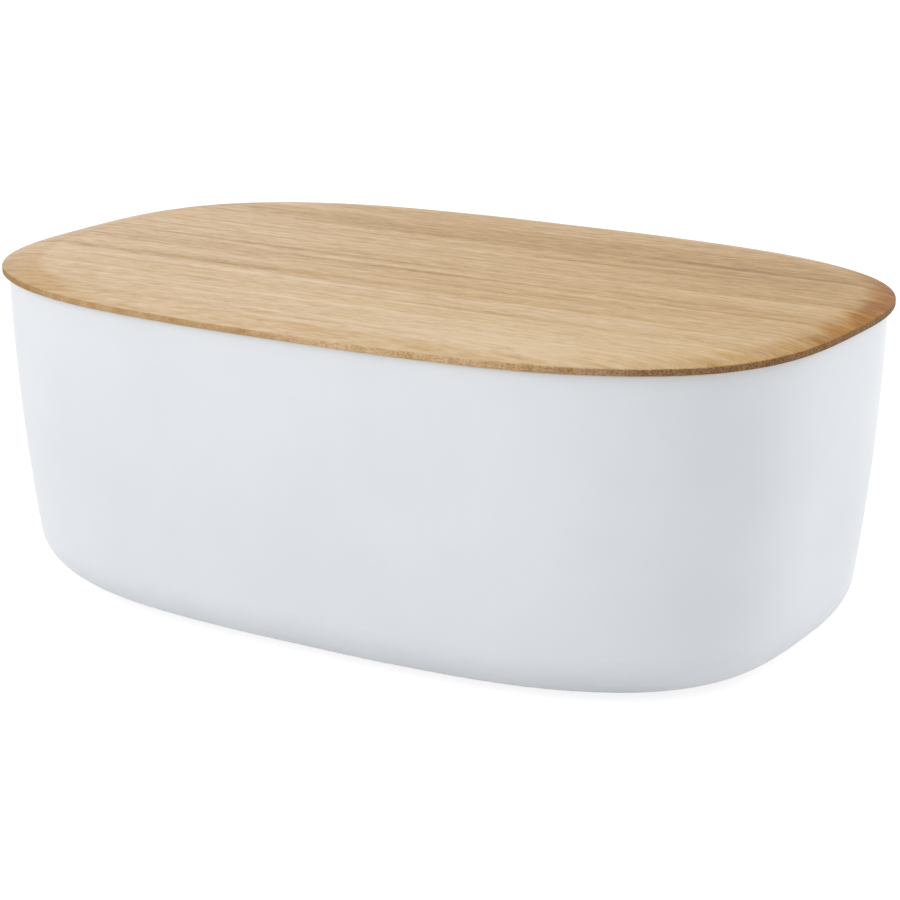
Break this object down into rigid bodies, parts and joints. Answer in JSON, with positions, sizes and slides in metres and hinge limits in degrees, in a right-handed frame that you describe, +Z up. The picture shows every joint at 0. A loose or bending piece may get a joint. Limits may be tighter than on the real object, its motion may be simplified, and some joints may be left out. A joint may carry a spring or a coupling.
{
  "type": "bread box",
  "caption": "Oval bread box: a moulded tub with walls leaning in to a rounded base, soft feet, and a lift-off wooden lid glued up from staves, with a seal ring around its locating step.",
  "frame": {"origin": "on the table, under the middle of the tub", "axes": "+Z up, +X along the length of the oval, -Y towards the front"},
  "size_m": [0.345, 0.225, 0.129],
  "materials": {
    "tub_melamine": "satin",
    "lid_wood": "oiled satin",
    "seal_silicone": "matte",
    "foot_silicone": "matte"
  },
  "bodies": {
    "tub": {"tub": "tub_melamine", "foot_front_left": "foot_silicone", "foot_front_right": "foot_silicone", "foot_back_left": "foot_silicone", "foot_back_right": "foot_silicone"},
    "lid": {"lid_stave_01": "lid_wood", "lid_stave_02": "lid_wood", "lid_stave_03": "lid_wood", "lid_stave_04": "lid_wood", "lid_stave_05": "lid_wood", "lid_stave_06": "lid_wood", "lid_stave_07": "lid_wood", "lid_stave_08": "lid_wood", "lid_stave_09": "lid_wood", "lid_stave_10": "lid_wood", "lid_stave_11": "lid_wood", "lid_stave_12": "lid_wood", "lid_seal": "seal_silicone"}
  },
  "joints": [
    {"name": "lid_lift", "type": "slide", "parent": "tub", "child": "lid", "axis": [0, 0, 1], "range_m": [0, 0.15]}
  ]
}
